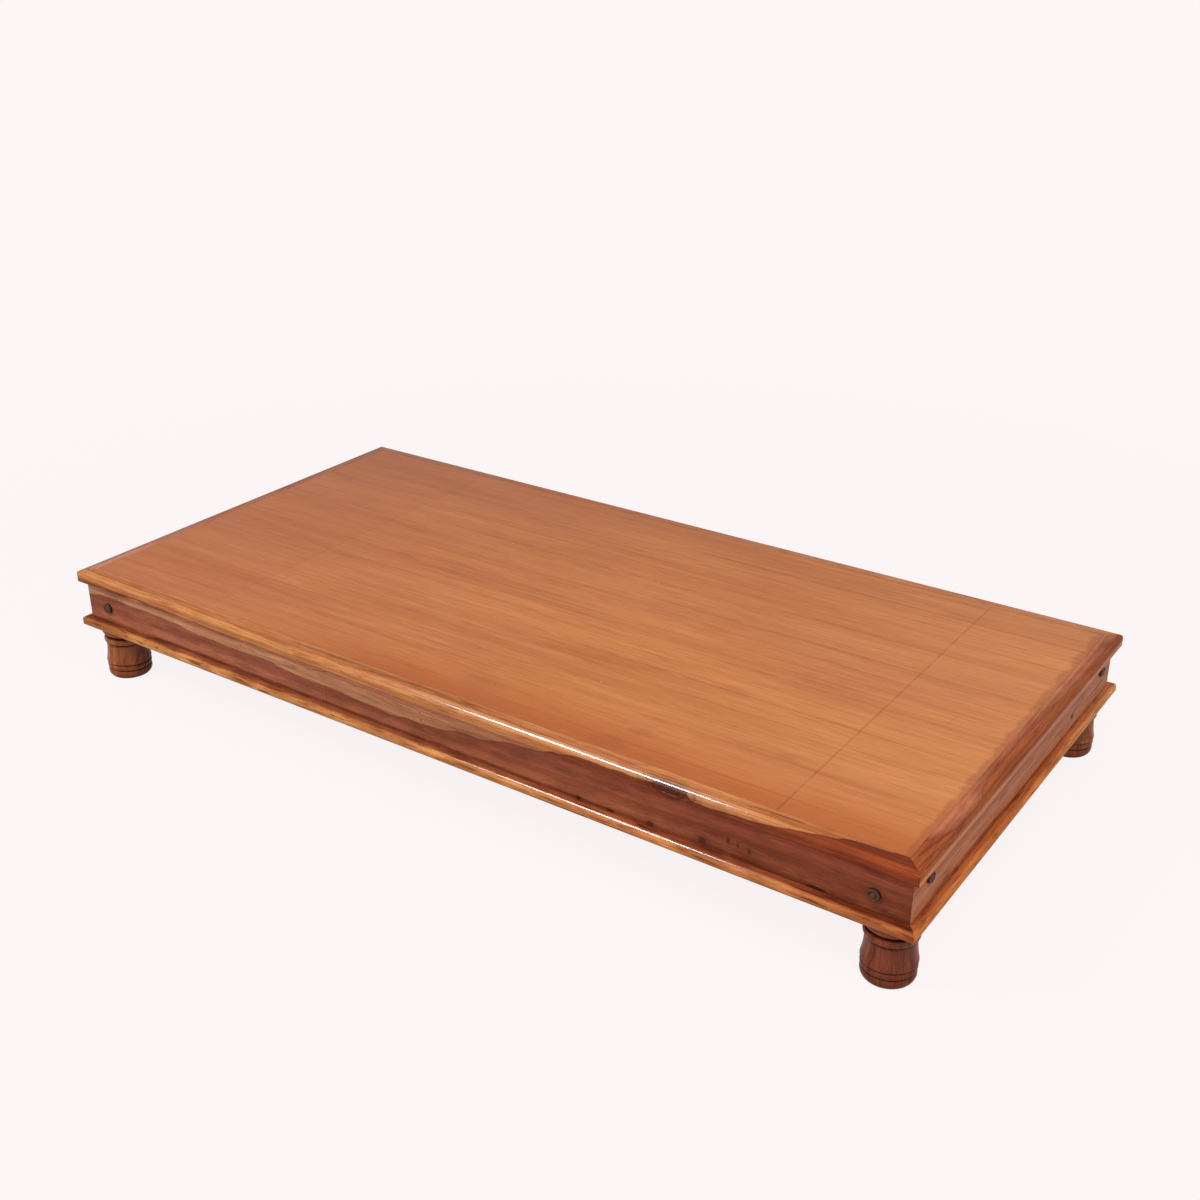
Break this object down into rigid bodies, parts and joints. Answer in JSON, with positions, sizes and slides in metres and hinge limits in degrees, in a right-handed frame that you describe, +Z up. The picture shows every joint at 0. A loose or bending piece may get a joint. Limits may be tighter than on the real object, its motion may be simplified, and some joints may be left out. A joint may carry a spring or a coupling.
{
  "type": "persian takht",
  "caption": "Low wooden takht platform: a veneered deck in a rounded lipping, on a moulded apron frame with stubby turned legs, for sitting or lying on.",
  "frame": {"origin": "on the floor, under the middle of the deck", "axes": "+X along the long side to the right, -Y to the front, +Z up through the deck"},
  "size_m": [1.833, 0.918, 0.234],
  "materials": {
    "deck_veneer": "satin honey-orange teak-like veneer, grain along X",
    "lipping_wood": "glossy varnished hardwood with sapwood streaks",
    "apron_wood": "glossy varnished red-brown hardwood",
    "moulding_wood": "glossy varnished golden-brown hardwood",
    "leg_wood": "glossy varnished turned hardwood",
    "batten_wood": "bare sawn softwood",
    "bolt_steel": "dull brown-grey steel",
    "nut_steel": "zinc plated",
    "screw_steel": "zinc plated"
  },
  "bodies": {
    "root": {"back_apron": "apron_wood", "back_base_moulding": "moulding_wood", "back_ledger": "batten_wood", "back_left_leg": "leg_wood", "back_lipping": "lipping_wood", "back_right_leg": "leg_wood", "bearer_screws": "screw_steel", "bolt_nuts": "nut_steel", "bolt_washers": "nut_steel", "deck_screws": "screw_steel", "front_apron": "apron_wood", "front_base_moulding": "moulding_wood", "front_ledger": "batten_wood", "front_left_leg": "leg_wood", "front_lipping": "lipping_wood", "front_right_leg": "leg_wood", "inner_bearer_1": "batten_wood", "inner_bearer_2": "batten_wood", "ledger_screws": "screw_steel", "left_apron": "apron_wood", "left_base_moulding": "moulding_wood", "left_deck_panel": "deck_veneer", "left_lipping": "lipping_wood", "left_seam_bearer": "batten_wood", "long_apron_bolts": "bolt_steel", "middle_deck_panel": "deck_veneer", "moulding_screws": "screw_steel", "right_apron": "apron_wood", "right_base_moulding": "moulding_wood", "right_deck_panel": "deck_veneer", "right_lipping": "lipping_wood", "right_seam_bearer": "batten_wood", "short_apron_bolts": "bolt_steel"}
  },
  "joints": []
}
